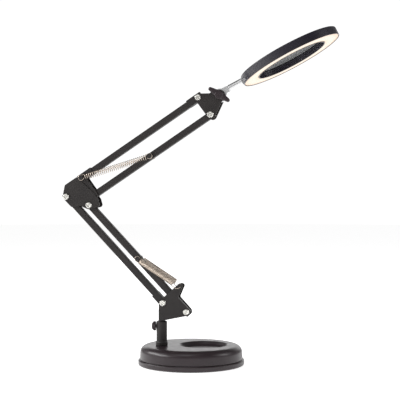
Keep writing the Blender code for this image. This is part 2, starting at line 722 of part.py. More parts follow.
def build_wing_knob(knob):
    near = CHEEK_OUTER + GAP
    bore = near + 7.6 * MM
    top = near + 8.6 * MM
    profile = [(0.0, top), (5.2 * MM, top), (6.3 * MM, top - 1.2 * MM), (6.3 * MM, near)]
    profile += [(BOLT_HOLE, near), (BOLT_HOLE, bore), (0.0, bore)]
    bm = bmesh.new()
    lathe(bm, profile, ROUND_MEDIUM, FRONT)
    hub = piece("wing_knob", bm, BLACK_PLASTIC, knob, turn=WING_TURN)
    for side, way in (("left", -1), ("right", 1)):
        corners = (WING_TIP, WING_ROOT, (WING_ROOT[0], -WING_ROOT[1], WING_ROOT[2]))
        wing = hull_of_circles([(way * x, way * y, radius) for x, y, radius in corners])
        bm = bmesh.new()
        prism(bm, [wing], near + 2.4 * MM, near + 7.8 * MM, FRONT)
        boolean(hub, tool(f"wing_{side}_tool", bm, knob, turn=WING_TURN), "UNION")


# ---------------------------------------------------------------- head


def build_stem(head):
    neck = STEM_RISE + STEM_RADIUS - 0.6 * MM
    low = STEM_RISE - STEM_RADIUS + 0.6 * MM
    outline = hull_of_circles([(0, 0, 10.0 * MM)] + [(11.0 * MM, (neck + low) / 2, (neck - low) / 2)])
    bm = bmesh.new()
    prism(bm, [outline, circle(0, 0, BOLT_HOLE)], -TUBE / 2, TUBE / 2, FRONT)
    lug = piece("tilt_lug", bm, ALUMINIUM, head, turn=HEAD_ANGLE)
    axis = Matrix.Translation((0, 0, STEM_RISE)) @ ALONG
    bm = bmesh.new()
    cylinder(bm, STEM_RADIUS - 1.3 * MM, 10.0 * MM, 26.0 * MM, ROUND_SMALL, axis)
    boolean(lug, tool("tenon_tool", bm, head, turn=HEAD_ANGLE), "UNION")

    wall = RING_DISTANCE - RING_RADIUS
    start = 16.2 * MM
    end = wall - GAP
    bore = STEM_RADIUS - 1.0 * MM
    section = [(bore, start), (STEM_RADIUS, start), (STEM_RADIUS, end), (2.1 * MM, end)]
    section += [(2.1 * MM, end - 9.0 * MM), (bore, end - 9.0 * MM)]
    bm = bmesh.new()
    lathe(bm, section, ROUND_MEDIUM, axis, closed=True)
    piece("stem_tube", bm, ALUMINIUM, head, turn=HEAD_ANGLE)
    bm = bmesh.new()
    profile = [(0.0, 30.0 * MM), (1.8 * MM, 30.0 * MM), (1.8 * MM, wall + 1.7 * MM)]
    profile += [(3.2 * MM, wall + 1.7 * MM), (3.2 * MM, wall + 3.4 * MM), (0.0, wall + 3.4 * MM)]
    lathe(bm, profile, ROUND_SMALL, axis)
    piece("stem_screw", bm, NICKEL, head, turn=HEAD_ANGLE)


def build_ring(head):
    centre = Matrix.Translation((RING_DISTANCE, 0.0, RING_RISE))
    rim = RING_RADIUS - 1.3 * MM
    inner = RING_OPENING + 1.5 * MM
    ledge = RING_OPENING - 1.9 * MM
    ceiling = RING_HALF - 2.2 * MM
    section = [(RING_RADIUS, -RING_HALF), (RING_RADIUS, RING_HALF - 0.8 * MM)]
    section += [(RING_RADIUS - 0.8 * MM, RING_HALF), (ledge + 0.8 * MM, RING_HALF)]
    section += [(ledge, RING_HALF - 0.8 * MM), (ledge, RING_HALF - 1.5 * MM)]
    section += [(RING_OPENING, RING_HALF - 1.5 * MM), (RING_OPENING, -RING_HALF)]
    section += [(inner, -RING_HALF), (inner, ceiling), (rim, ceiling), (rim, -RING_HALF)]
    bm = bmesh.new()
    lathe(bm, section, ROUND_BIG, centre, closed=True)
    shell = piece("head_shell", bm, RING_PLASTIC, head, turn=HEAD_ANGLE)
    axis = Matrix.Translation((0, 0, STEM_RISE)) @ ALONG
    bm = bmesh.new()
    wall = RING_DISTANCE - RING_RADIUS
    cylinder(bm, 2.1 * MM, wall - 3.0 * MM, wall + 3.0 * MM, ROUND_SMALL, axis)
    boolean(shell, tool("stem_hole_tool", bm, head, turn=HEAD_ANGLE))

    bm = bmesh.new()
    ring(bm, inner + GAP, rim - GAP, -RING_HALF + 0.6 * MM, -RING_HALF + 2.1 * MM, ROUND_BIG, centre)
    piece("diffuser", bm, OPAL, head, turn=HEAD_ANGLE)
    bm = bmesh.new()
    ring(bm, 58.5 * MM, 74.5 * MM, 2.4 * MM, 4.0 * MM, ROUND_BIG, centre)
    piece("led_board", bm, BOARD, head, turn=HEAD_ANGLE)

    build_lens(head, centre, ledge)


def build_lens(head, centre, ledge):
    """Flat below and domed above, held up under the ring's ledge by a retaining ring."""
    profile = [(0.0, LENS_LOW), (LENS_RADIUS, LENS_LOW)]
    steps = 4
    for k in range(steps, -1, -1):
        share = k / steps
        profile.append((LENS_RADIUS * share, LENS_LOW + LENS_EDGE + LENS_BULGE * (1 - share ** 2)))
    bm = bmesh.new()
    lathe(bm, profile, ROUND_BIG, centre)
    piece("lens", bm, GLASS, head, turn=HEAD_ANGLE)
    bm = bmesh.new()
    ring(bm, ledge, RING_OPENING - GAP, LENS_LOW - GAP - 1.5 * MM, LENS_LOW - GAP, ROUND_BIG, centre)
    piece("lens_retainer", bm, RING_PLASTIC, head, turn=HEAD_ANGLE)


# ---------------------------------------------------------------- assembly


def build_lamp():
    clear_scene()
    base = new_body("base", Vector((0.0, 0.0, 0.0)))
    clamp = new_body("clamp_axis", POST + Vector((0.0, 0.0, CLAMP_HEIGHT)), base)
    turret = new_body("swivel_axis", POST + Vector((0.0, 0.0, SOCKET_TOP)), base)
    lower_rear = new_body("pivot_a", PLANE + PIVOT_A, turret)
    lower_front = new_body("pivot_b", PLANE + PIVOT_B, turret)
    elbow = new_body("pivot_c", PLANE + PIVOT_C, lower_rear)
    upper_top = new_body("pivot_p", PLANE + PIVOT_P, elbow)
    upper_bottom = new_body("pivot_q", PLANE + PIVOT_Q, elbow)
    bracket = new_body("pivot_e", PLANE + PIVOT_E, upper_top)
    knob = new_body("knob_axis", PLANE + TILT, bracket)
    head = new_body("tilt_axis", PLANE + TILT, bracket)
    build_base(base)
    build_post(base, clamp)
    build_turret(turret)
    build_lower_arm(lower_rear, lower_front)
    build_elbow(elbow)
    build_upper_arm(upper_top, upper_bottom)
    build_head_bracket(bracket)
    build_wing_knob(knob)
    build_stem(head)
    build_ring(head)


build_lamp()
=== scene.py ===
"""Looks of the magnifying lamp: fine meshes, materials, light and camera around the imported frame.

Shapes are written in millimetres in their own local axes, and the matrices from at() set them
into the frame, which is in metres. The arms lie in the plane of the swivel axis that is parallel
to XZ.
"""

import json
from math import acos, atan2, cos, pi, radians, sin, tan

import bmesh
import bpy
from mathutils import Matrix, Vector

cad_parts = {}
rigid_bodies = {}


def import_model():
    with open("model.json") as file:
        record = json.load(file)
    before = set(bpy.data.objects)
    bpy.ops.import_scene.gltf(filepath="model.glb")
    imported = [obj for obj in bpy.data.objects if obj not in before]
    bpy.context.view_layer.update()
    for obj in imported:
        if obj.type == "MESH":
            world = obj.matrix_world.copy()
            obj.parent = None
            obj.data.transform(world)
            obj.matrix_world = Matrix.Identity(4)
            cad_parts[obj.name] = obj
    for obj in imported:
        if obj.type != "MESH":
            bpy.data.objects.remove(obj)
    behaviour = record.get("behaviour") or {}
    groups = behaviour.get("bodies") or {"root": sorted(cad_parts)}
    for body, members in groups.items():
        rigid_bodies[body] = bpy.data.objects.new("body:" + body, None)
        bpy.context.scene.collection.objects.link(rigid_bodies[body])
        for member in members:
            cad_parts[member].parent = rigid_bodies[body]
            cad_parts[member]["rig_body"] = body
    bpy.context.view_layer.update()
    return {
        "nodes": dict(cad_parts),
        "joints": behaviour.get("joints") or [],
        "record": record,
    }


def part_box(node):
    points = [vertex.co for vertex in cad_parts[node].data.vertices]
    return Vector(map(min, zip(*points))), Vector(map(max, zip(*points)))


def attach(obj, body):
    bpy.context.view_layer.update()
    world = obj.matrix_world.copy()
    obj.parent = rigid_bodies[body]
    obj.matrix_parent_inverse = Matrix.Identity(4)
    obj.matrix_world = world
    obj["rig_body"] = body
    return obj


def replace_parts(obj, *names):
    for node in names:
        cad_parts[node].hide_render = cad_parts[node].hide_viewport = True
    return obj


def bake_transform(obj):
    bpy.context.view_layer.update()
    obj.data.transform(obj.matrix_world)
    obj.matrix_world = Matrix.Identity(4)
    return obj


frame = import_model()

MM = 0.001
TINY = 1e-6
GAP = 0.3  # millimetres between parts that touch or turn on one another

# ---------------------------------------------------------------- places, read from the frame

JOINT = {joint["name"]: Vector(joint["pos_m"]) for joint in frame["joints"]}
SLOT_OF = {part["node"]: part["material_slot"] for part in frame["record"]["subparts"]}
OPENING = [Vector(corner) for corner in frame["record"]["physics"]["openings"][0]["box_m"]]

PIVOT = {
    "a": JOINT["lower_arm"],
    "b": JOINT["lower_front_pivot"],
    "c": JOINT["elbow_pivot"],
    "d": JOINT["elbow_pivot"] + JOINT["lower_front_pivot"] - JOINT["lower_arm"],
    "p": JOINT["upper_arm"],
    "q": JOINT["upper_bottom_pivot"],
    "e": JOINT["head_level"],
    "f": JOINT["head_level"] + JOINT["upper_bottom_pivot"] - JOINT["upper_arm"],
    "t": JOINT["head_tilt"],
}
POST = Vector((JOINT["swivel"].x, JOINT["swivel"].y, 0.0))


def angle_between(start, end):
    """Angle of the line from start to end in the plane of the arms, from +X towards +Z."""
    return atan2(end.z - start.z, end.x - start.x)


def middle(node):
    low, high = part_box(node)
    return (low + high) / 2


LOWER_ANGLE = angle_between(PIVOT["a"], PIVOT["c"])
UPPER_ANGLE = angle_between(PIVOT["p"], PIVOT["e"])
LOWER_LENGTH = (PIVOT["c"] - PIVOT["a"]).length / MM
UPPER_LENGTH = (PIVOT["e"] - PIVOT["p"]).length / MM
HEAD_ANGLE = radians(27.3)
LOWER_PEG = middle("lower_spring_peg")
UPPER_PEG = middle("upper_spring_peg")
HOOK_HOLE = Vector((-13.8 * MM, POST.y, 118.4 * MM))  # in the turret's ears

FRONT = Matrix.Rotation(radians(90), 4, "X")  # local height points to the front, -Y
ALONG = Matrix.Rotation(radians(90), 4, "Y")  # local height points to local +X
TO_LEFT = Matrix.Rotation(radians(-90), 4, "Y")  # local height points to the left, -X


def at(point, turn=0.0):
    """From local millimetres to the frame, turned about Y so that local +X rises by `turn`."""
    return Matrix.Translation(point) @ Matrix.Rotation(-turn, 4, "Y") @ Matrix.Scale(MM, 4)


HEAD = at(PIVOT["t"], HEAD_ANGLE)
RING_DISTANCE = 117.5
RING_RISE = 2.2
STEM_RISE = 3.0
RING = HEAD @ Matrix.Translation((RING_DISTANCE, 0.0, RING_RISE))
STEM = HEAD @ Matrix.Translation((0.0, 0.0, STEM_RISE)) @ ALONG

# ---------------------------------------------------------------- shapes


def rounded(corners, closed=True, steps=5):
    """Outline, or open profile, through corners (x, y, radius), each rounded to an arc."""
    outline = []
    for i, (x, y, radius) in enumerate(corners):
        if radius == 0:
            outline.append((x, y))
            continue
        here = Vector((x, y))
        back = (Vector(corners[i - 1][:2]) - here).normalized()
        ahead = (Vector(corners[(i + 1) % len(corners)][:2]) - here).normalized()
        half = back.angle(ahead) / 2
        centre = here + (back + ahead).normalized() * radius / sin(half)
        first = here + back * radius / tan(half) - centre
        last = here + ahead * radius / tan(half) - centre
        start = atan2(first.y, first.x)
        sweep = atan2(first.x * last.y - first.y * last.x, first.dot(last))
        for k in range(steps + 1):
            t = start + sweep * k / steps
            outline.append((centre.x + radius * cos(t), centre.y + radius * sin(t)))
    return outline


def skin(bm, rings, closed=False):
    """Join rings of points in order. A ring of one point closes the shape to a tip."""
    made = [[bm.verts.new(point) for point in ring] for ring in rings]
    pairs = list(zip(made, made[1:]))
    if closed:
        pairs.append((made[-1], made[0]))
    sides = max(len(ring) for ring in rings)
    for low, high in pairs:
        for i in range(sides):
            j = (i + 1) % sides
            corners = [low[i % len(low)], low[j % len(low)]]
            corners += [high[j % len(high)], high[i % len(high)]]
            bm.faces.new(list(dict.fromkeys(corners)))


def circle_shape(radius, turn):
    return radius


def lathe(bm, profile, sides, place, closed=False, shape=circle_shape):
    """Turn a profile of (radius, height) about local Z; `shape` gives the reach at each turn."""
    rings = []
    for radius, height in profile:
        if radius < TINY:
            rings.append([place @ Vector((0.0, 0.0, height))])
            continue
        ring = []
        for i in range(sides):
            t = 2 * pi * i / sides
            reach = shape(radius, t)
            ring.append(place @ Vector((reach * cos(t), reach * sin(t), height)))
        rings.append(ring)
    skin(bm, rings, closed)


def rod(bm, radius, low, high, sides, place):
    """Plain cylinder about local Z."""
    lathe(bm, [(0, low), (radius, low), (radius, high), (0, high)], sides, place)


def tube_wall(bm, inner, outer, low, high, sides, place, edge=0.15):
    """Ring with slightly rounded edges."""
    corners = [(inner, low, edge), (outer, low, edge), (outer, high, edge), (inner, high, edge)]
    lathe(bm, rounded(corners, steps=3), sides, place, closed=True)


def prism(bm, loops, low, high, place):
    """Extrude a flat outline with holes, loops[0] and the rest, from height low to high."""
    twin = {}
    edges = []
    for loop in loops:
        ring = [bm.verts.new(place @ Vector((x, y, low))) for x, y in loop]
        for vert, (x, y) in zip(ring, loop):
            twin[vert] = bm.verts.new(place @ Vector((x, y, high)))
        for a, b in zip(ring, ring[1:] + ring[:1]):
            edges.append(bm.edges.new((a, b)))
            bm.faces.new((a, b, twin[b], twin[a]))
    filled = bmesh.ops.triangle_fill(bm, edges=edges, use_beauty=True)
    for face in [item for item in filled["geom"] if isinstance(item, bmesh.types.BMFace)]:
        bm.faces.new([twin[vert] for vert in reversed(face.verts)])


def sweep(bm, path, radius, sides):
    """Round wire along a path of points, in metres, with closed ends."""
    tangents = []
    for i in range(len(path)):
        tangents.append((path[min(i + 1, len(path) - 1)] - path[max(i - 1, 0)]).normalized())
    normal = tangents[0].orthogonal().normalized()
    rings = [[path[0] - tangents[0] * radius * 0.3]]
    for point, tangent in zip(path, tangents):
        normal = (normal - tangent * normal.dot(tangent)).normalized()
        other = tangent.cross(normal)
        turns = [2 * pi * k / sides for k in range(sides)]
        rings.append([point + radius * (normal * cos(t) + other * sin(t)) for t in turns])
    rings.append([path[-1] + tangents[-1] * radius * 0.3])
    skin(bm, rings)


# ---------------------------------------------------------------- pieces

SMOOTH_BELOW = radians(50)
BEVEL_ABOVE = radians(40)


def mesh_object(name, bm):
    bmesh.ops.recalc_face_normals(bm, faces=bm.faces)
    mesh = bpy.data.meshes.new(name)
    bm.to_mesh(mesh)
    bm.free()
    mesh.shade_smooth()
    mesh.set_sharp_from_angle(angle=SMOOTH_BELOW)
    obj = bpy.data.objects.new(name, mesh)
    bpy.context.collection.objects.link(obj)
    return obj


def carve(obj, *cuts):
    """Apply Boolean cuts, each one a pair of operation and bmesh."""
    for operation, bm in cuts:
        cutter = mesh_object(f"{obj.name}_tool", bm)
        modifier = obj.modifiers.new("cut", "BOOLEAN")
        modifier.operation = operation
        modifier.solver = "EXACT"
        modifier.object = cutter
        evaluated = obj.evaluated_get(bpy.context.evaluated_depsgraph_get())
        mesh = bpy.data.meshes.new_from_object(evaluated)
        obj.modifiers.clear()
        obj.data = mesh
        bpy.data.objects.remove(cutter)
    obj.data.shade_smooth()
    obj.data.set_sharp_from_angle(angle=SMOOTH_BELOW)


def dress(obj, node, edge=0.0):
    """Edges, material and material slot that a piece takes from its CAD node."""
    if edge:
        modifier = obj.modifiers.new("edges", "BEVEL")
        modifier.width = edge * MM
        modifier.segments = 2
        modifier.limit_method = "ANGLE"
        modifier.angle_limit = BEVEL_ABOVE
    weighted = obj.modifiers.new("normals", "WEIGHTED_NORMAL")
    weighted.keep_sharp = True
    obj.data.materials.clear()
    obj.data.materials.append(LOOKS[SLOT_OF[node]])
    return obj


def stand_for(obj, node, edge=0.0):
    """Show obj in place of a CAD node, on the same body."""
    dress(obj, node, edge)
    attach(obj, frame["nodes"][node]["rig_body"])
    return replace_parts(obj, node)


def fine(node, bm, edge=0.0):
    return stand_for(mesh_object(f"{node}_fine", bm), node, edge)


def refined(node, edge):
    """The node's own shape, with clean flat faces and softened edges."""
    bm = bmesh.new()
    bm.from_mesh(frame["nodes"][node].data)
    bmesh.ops.remove_doubles(bm, verts=bm.verts, dist=0.002 * MM)
    flat_edges = dict(angle_limit=radians(0.5), verts=bm.verts, edges=bm.edges)
    bmesh.ops.dissolve_limit(bm, use_dissolve_boundaries=False, **flat_edges)
    return fine(node, bm, edge)


# ---------------------------------------------------------------- materials

LOOKS = {}


class Paint:
    """A Principled material with helpers that add texture nodes in object coordinates."""

    def __init__(self, slot, **values):
        self.material = bpy.data.materials.new(f"{slot}_look")
        self.material.use_nodes = True
        self.tree = self.material.node_tree
        self.shader = self.tree.nodes["Principled BSDF"]
        self.place = self.tree.nodes.new("ShaderNodeTexCoord").outputs["Object"]
        for key, value in values.items():
            self.shader.inputs[key.replace("_", " ")].default_value = value
        LOOKS[slot] = self.material

    def node(self, kind, **inputs):
        node = self.tree.nodes.new(kind)
        for key, value in inputs.items():
            socket = node.inputs[key.replace("_", " ")]
            if isinstance(value, bpy.types.NodeSocket):
                self.tree.links.new(value, socket)
            else:
                socket.default_value = value
        return node

    def noise(self, size_mm, detail=3.0, place=None):
        """Noise whose features are about size_mm across."""
        inputs = dict(Vector=place or self.place, Scale=1.0 / (size_mm * MM), Detail=detail)
        return self.node("ShaderNodeTexNoise", **inputs).outputs["Fac"]

    def cells(self, per_metre, feature="F1"):
        """Distance within Voronoi cells."""
        node = self.node("ShaderNodeTexVoronoi", Vector=self.place, Scale=per_metre)
        node.feature = feature
        return node.outputs["Distance"]

    def stretched(self, size_mm, turn=0.0):
        """Object coordinates, turned about Y, in which noise(1.0) has size_mm on each axis."""
        mapping = self.node("ShaderNodeMapping", Vector=self.place)
        mapping.vector_type = "TEXTURE"
        mapping.inputs["Rotation"].default_value = (0.0, -turn, 0.0)
        mapping.inputs["Scale"].default_value = size_mm
        return mapping.outputs["Vector"]

    def ramp(self, factor, low, high, first, last):
        """Map factor from low..high to first..last, which are numbers or colours."""
        node = self.node("ShaderNodeValToRGB", Fac=factor)
        for element, position, value in zip(node.color_ramp.elements, (low, high), (first, last)):
            element.position = position
            element.color = (*(value if isinstance(value, tuple) else (value,) * 3), 1.0)
        return node.outputs["Color"]

    def spread(self, noise, first, last):
        """From first to last over the middle of a noise's range, where most of it lies."""
        return self.ramp(noise, 0.3, 0.7, first, last)

    def mix(self, factor, first, second):
        node = self.tree.nodes.new("ShaderNodeMix")
        node.data_type = "RGBA"
        self.tree.links.new(factor, node.inputs["Factor"])
        self.tree.links.new(first, node.inputs["A"])
        if isinstance(second, bpy.types.NodeSocket):
            self.tree.links.new(second, node.inputs["B"])
        else:
            node.inputs["B"].default_value = (*second, 1.0)
        return node.outputs["Result"]

    def link(self, socket, value):
        self.tree.links.new(value, self.shader.inputs[socket])

    def bumps(self, *layers):
        """Stack bump layers, each a pair of height and depth in millimetres."""
        normal = None
        for height, depth in layers:
            node = self.node("ShaderNodeBump", Height=height, Strength=1.0, Distance=depth * MM)
            if normal:
                self.tree.links.new(normal, node.inputs["Normal"])
            normal = node.outputs["Normal"]
        self.link("Normal", normal)

    def edges(self, radius_mm):
        """1 along the convex and concave edges, 0 on flat ground."""
        bevel = self.node("ShaderNodeBevel", Radius=radius_mm * MM)
        bevel.samples = 4
        surface = self.node("ShaderNodeNewGeometry")
        product = self.node("ShaderNodeVectorMath")
        product.operation = "DOT_PRODUCT"
        self.tree.links.new(bevel.outputs["Normal"], product.inputs[0])
        self.tree.links.new(surface.outputs["Normal"], product.inputs[1])
        return self.ramp(product.outputs["Value"], 0.75, 0.98, 1.0, 0.0)


def powder_coat():
    """Fine matte black coat, a little thinner and shinier along the sheet's edges, where a lighter
    grey is mixed in as a painted highlight.
    """
    paint = Paint("black_steel", IOR=1.45)
    grain = paint.noise(0.45)
    peel = paint.noise(2.2, 2.0)
    cloud = paint.noise(24.0, 2.0)
    ground = paint.spread(cloud, (0.0125, 0.0098, 0.0094), (0.0185, 0.0148, 0.0142))
    thin_coat_and_painted_highlight = paint.edges(0.35)
    matte = paint.spread(grain, 0.44, 0.56)
    # painted highlight: a lighter grey along the convex and concave edges stands in for the light
    # they catch; only their lower roughness is the coat's own
    paint.link("Base Color", paint.mix(thin_coat_and_painted_highlight, ground, (0.045, 0.044, 0.043)))
    paint.link("Roughness", paint.mix(thin_coat_and_painted_highlight, matte, (0.32, 0.32, 0.32)))
    paint.bumps((peel, 0.02), (grain, 0.012))


def base_plastic():
    """Semi-gloss moulded black with a fine spark-eroded grain."""
    paint = Paint("black_plastic", IOR=1.5)
    grain = paint.noise(0.35, 4.0)
    cloud = paint.noise(30.0, 2.0)
    ground = paint.spread(cloud, (0.0205, 0.0125, 0.0155), (0.0265, 0.0165, 0.0200))
    paint.link("Base Color", ground)
    paint.link("Roughness", paint.spread(paint.noise(9.0), 0.31, 0.37))
    paint.bumps((grain, 0.0014))


def ring_plastic():
    """Satin black with a slight blue cast."""
    paint = Paint("ring_plastic", IOR=1.5)
    grain = paint.noise(0.3, 4.0)
    cloud = paint.noise(26.0, 2.0)
    ground = paint.spread(cloud, (0.0115, 0.0095, 0.0165), (0.0165, 0.0140, 0.0225))
    paint.link("Base Color", ground)
    paint.link("Roughness", paint.spread(paint.noise(7.0), 0.28, 0.36))
    paint.bumps((grain, 0.0012))


def nickel():
    """Bright plate with fine random scratches."""
    paint = Paint("nickel", Metallic=1.0)
    scratch = paint.noise(1.0, 4.0, paint.stretched((0.25, 0.25, 2.0)))
    paint.link("Base Color", paint.spread(paint.noise(2.5), (0.70, 0.69, 0.65), (0.84, 0.83, 0.79)))
    paint.link("Roughness", paint.spread(scratch, 0.20, 0.34))
    paint.bumps((scratch, 0.0015))


def spring_wire():
    """Warm plated wire with darker drawn streaks."""
    paint = Paint("spring_steel", Metallic=1.0)
    streak = paint.noise(0.5, 3.0)
    paint.link("Base Color", paint.spread(streak, (0.50, 0.42, 0.35), (0.78, 0.69, 0.60)))
    paint.link("Roughness", paint.spread(paint.noise(1.2), 0.26, 0.40))
    paint.bumps((streak, 0.003))


def polished_aluminium():
    """Bright turned aluminium: faint tool marks round the stem."""
    paint = Paint("aluminium", Metallic=1.0)
    marks = paint.noise(1.0, 2.0, paint.stretched((0.22, 60.0, 60.0), HEAD_ANGLE))
    paint.link("Base Color", paint.spread(paint.noise(6.0), (0.74, 0.74, 0.75), (0.80, 0.80, 0.80)))
    paint.link("Roughness", paint.spread(marks, 0.30, 0.40))
    paint.bumps((marks, 0.0006))


def opal_plastic():
    """Opal plastic lit from behind: warm white, peach towards the rims."""
    paint = Paint("opal", Roughness=0.5, Emission_Strength=0.64)
    from_middle = paint.node("ShaderNodeVectorMath")
    from_middle.operation = "DISTANCE"
    paint.tree.links.new(paint.place, from_middle.inputs[0])
    from_middle.inputs[1].default_value = RING.translation
    distance = from_middle.outputs["Value"]
    inner = paint.ramp(distance, 0.0560, 0.0615, (1.0, 0.72, 0.50), (1.0, 0.90, 0.76))
    outer = paint.ramp(distance, 0.0690, 0.0775, 0.0, 1.0)
    glow = paint.mix(outer, inner, (1.0, 0.66, 0.44))
    haze = paint.ramp(paint.noise(7.0, 1.0), 0.45, 0.8, 0.0, 0.25)
    paint.link("Emission Color", paint.mix(haze, glow, (1.0, 0.95, 0.86)))
    paint.link("Base Color", paint.spread(paint.noise(3.0), (0.22, 0.19, 0.16), (0.27, 0.24, 0.20)))
    paint.bumps((paint.noise(0.5), 0.002))


def clear_glass():
    """Polished optical glass with the faintest film of dust."""
    paint = Paint("glass", IOR=1.52, Transmission_Weight=1.0, Coat_Weight=0.0)
    tint = paint.spread(paint.noise(18.0), (0.80, 0.82, 0.82), (0.85, 0.87, 0.87))
    paint.link("Base Color", tint)
    paint.link("Roughness", paint.ramp(paint.noise(3.0, 5.0), 0.45, 0.8, 0.0, 0.03))


def cast_iron():
    """Rough casting, the weight's open skin."""
    paint = Paint("iron", Metallic=0.7)
    lump = paint.noise(2.0, 5.0)
    paint.link("Base Color", paint.spread(lump, (0.09, 0.085, 0.08), (0.17, 0.165, 0.16)))
    paint.link("Roughness", paint.spread(lump, 0.55, 0.8))
    paint.bumps((lump, 0.15))


def foam_rubber():
    """Closed-cell foam: small round cells in the surface."""
    paint = Paint("foam")
    cells = paint.cells(1800.0)
    ground = paint.ramp(cells, 0.1, 0.6, (0.012, 0.012, 0.012), (0.030, 0.030, 0.030))
    paint.link("Base Color", ground)
    paint.link("Roughness", paint.ramp(cells, 0.1, 0.6, 0.95, 0.8))
    paint.bumps((cells, 0.12))


def nylon():
    """Dull moulded black with faint flow lines."""
    paint = Paint("nylon", IOR=1.5)
    flow = paint.noise(1.0, 3.0, paint.stretched((0.8, 4.0, 0.8)))
    paint.link("Base Color", paint.spread(flow, (0.024, 0.024, 0.024), (0.038, 0.037, 0.036)))
    paint.link("Roughness", paint.spread(paint.noise(0.6), 0.45, 0.6))
    paint.bumps((flow, 0.02))


def solder_mask():
    """White board with faint traces under the mask."""
    paint = Paint("board", IOR=1.5)
    trace = paint.cells(160.0, "DISTANCE_TO_EDGE")
    paint.link("Base Color", paint.ramp(trace, 0.04, 0.10, (0.70, 0.72, 0.66), (0.84, 0.84, 0.80)))
    paint.link("Roughness", paint.spread(paint.noise(1.0), 0.35, 0.5))
    paint.bumps((trace, 0.02))


def phosphor():
    """Yellow silicone domes of the light chips, lit."""
    paint = Paint("chip", Roughness=0.3, Emission_Strength=2.0)
    spread = paint.noise(0.8)
    paint.link("Base Color", paint.spread(spread, (0.80, 0.62, 0.16), (0.88, 0.72, 0.26)))
    paint.link("Emission Color", paint.spread(spread, (1.0, 0.80, 0.50), (1.0, 0.88, 0.62)))


def make_looks():
    powder_coat()
    base_plastic()
    ring_plastic()
    nickel()
    spring_wire()
    polished_aluminium()
    opal_plastic()
    clear_glass()
    cast_iron()
    foam_rubber()
    nylon()
    solder_mask()
    phosphor()


# ---------------------------------------------------------------- base

TOP = 30.0
DISH_FLOOR = 24.0
WALL = 2.5
SIDES = 160
DISH_PLACE = (OPENING[0] + OPENING[1]) / 2
DISH_PLACE.z = 0.0


def circle_ring(centre, radius, height):
    """Circle of SIDES points in the frame about a vertical axis, or its centre if radius is 0."""
    if radius < TINY:
        return [centre + Vector((0.0, 0.0, height * MM))]
    turns = [2 * pi * i / SIDES for i in range(SIDES)]
    return [centre + Vector((radius * cos(t), radius * sin(t), height)) * MM for t in turns]


def screw_places():
    for screw in ("base_screw_1", "base_screw_2", "base_screw_3"):
        spot = middle(screw)
        yield Vector((spot.x, spot.y, 0.0))


def make_cover():
    """Outer skin with dish, flat top, shoulder and drafted side, and an inner skin WALL below."""
    ground = Vector((0.0, 0.0, 0.0))
    ceiling = TOP - WALL
    below = DISH_FLOOR - WALL
    dish = rounded([(0, DISH_FLOOR, 0), (32.4, DISH_FLOOR, 5.5), (36.9, TOP, 2.2), (40.5, TOP, 0)])
    side = [(62, TOP, 0), (76.6, TOP, 10.5), (77.5, 9.1, 0.4), (75, 9.1, 0.3)]
    side = rounded(side + [(74.2, ceiling, 7), (62, ceiling, 0)], steps=8)
    under = rounded([(42.5, ceiling, 0), (39.0, ceiling, 0.8), (34.4, below, 5.0), (0, below, 0)])
    rings = [circle_ring(DISH_PLACE, radius, height) for radius, height in dish]
    rings += [circle_ring(ground, radius, height) for radius, height in side]
    rings += [circle_ring(DISH_PLACE, radius, height) for radius, height in under]
    bm = bmesh.new()
    skin(bm, rings)
    cover = mesh_object("base_cover_fine", bm)
    bosses = bmesh.new()
    holes = bmesh.new()
    for spot in screw_places():
        rod(bosses, 4.5, 18.3, TOP - 1.5, 32, at(spot))
        rod(holes, 1.8, 17, 26, 24, at(spot))
    rod(holes, 5.3, 24, 32, 48, at(POST))
    carve(cover, ("UNION", bosses), ("DIFFERENCE", holes))
    stand_for(cover, "base_cover")


def make_base():
    make_cover()
    section = [(76.3, 0.8, 0.2), (79.0, 0.8, 0.6), (80.0, 2.0, 0.6), (80.0, 7.5, 0.8)]
    section += [(79.0, 8.8, 0.6), (70.0, 8.8, 0.2), (70.0, 5.8, 0.2), (76.3, 5.8, 0.2)]
    bm = bmesh.new()
    lathe(bm, rounded(section), SIDES, at(Vector()), closed=True)
    fine("base_rim", bm)
    bm = bmesh.new()
    pad = rounded([(0, 0, 0), (75.3, 0, 0.5), (75.5, 2, 0.5), (0, 2, 0)])
    lathe(bm, pad, SIDES, at(Vector()))
    fine("foot_pad", bm)


def make_post():
    profile = [(0, 19.5, 0), (5, 19.5, 0.6), (5, 30.3, 0.1), (9, 30.3, 0.3), (9, 34.8, 0.9)]
    profile += [(8, 36.2, 0.9), (8, 66.8, 1.7), (5.3, 66.8, 0.3), (5.3, 37, 0.3), (0, 37, 0)]
    bm = bmesh.new()
    lathe(bm, rounded(profile), 96, at(POST))
    socket = mesh_object("post_socket_fine", bm)
    bm = bmesh.new()
    rod(bm, 2.8, 3, 12, 32, at(JOINT["clamp_turn"]) @ TO_LEFT)
    carve(socket, ("DIFFERENCE", bm))
    stand_for(socket, "post_socket")


LOBES = 6
LOBE_DEPTH = 0.075  # share of the radius
SHANK_RADIUS = 3.0


def lobed(radius, turn):
    """Finger lobes on what is wider than the shank."""
    if radius <= SHANK_RADIUS:
        return radius
    return radius * (1.0 + LOBE_DEPTH * cos(LOBES * turn))


def make_clamp_screw():
    profile = [(0, 5.4, 0), (2.5, 5.4, 0.5), (2.5, 8.9, 0.2), (6.55, 8.9, 0.9), (6.55, 13.3, 1.1)]
    profile += [(4.7, 13.3, 0.25), (4.7, 14.8, 0.7), (0, 14.8, 0)]
    bm = bmesh.new()
    lathe(bm, rounded(profile), 96, at(JOINT["clamp_turn"]) @ TO_LEFT, shape=lobed)
    fine("clamp_screw", bm)


# ---------------------------------------------------------------- fasteners

CHEEK_INNER = 8.2  # faces of the cheeks and inner links, from the plane of the arms
CHEEK_FACE = 9.4
LINK_INNER = 6.7
LINK_OUTER = 7.9
SEAT = CHEEK_FACE + GAP  # bolt heads and nuts
THREAD_PITCH = 0.7
THREAD_DEPTH = 0.3


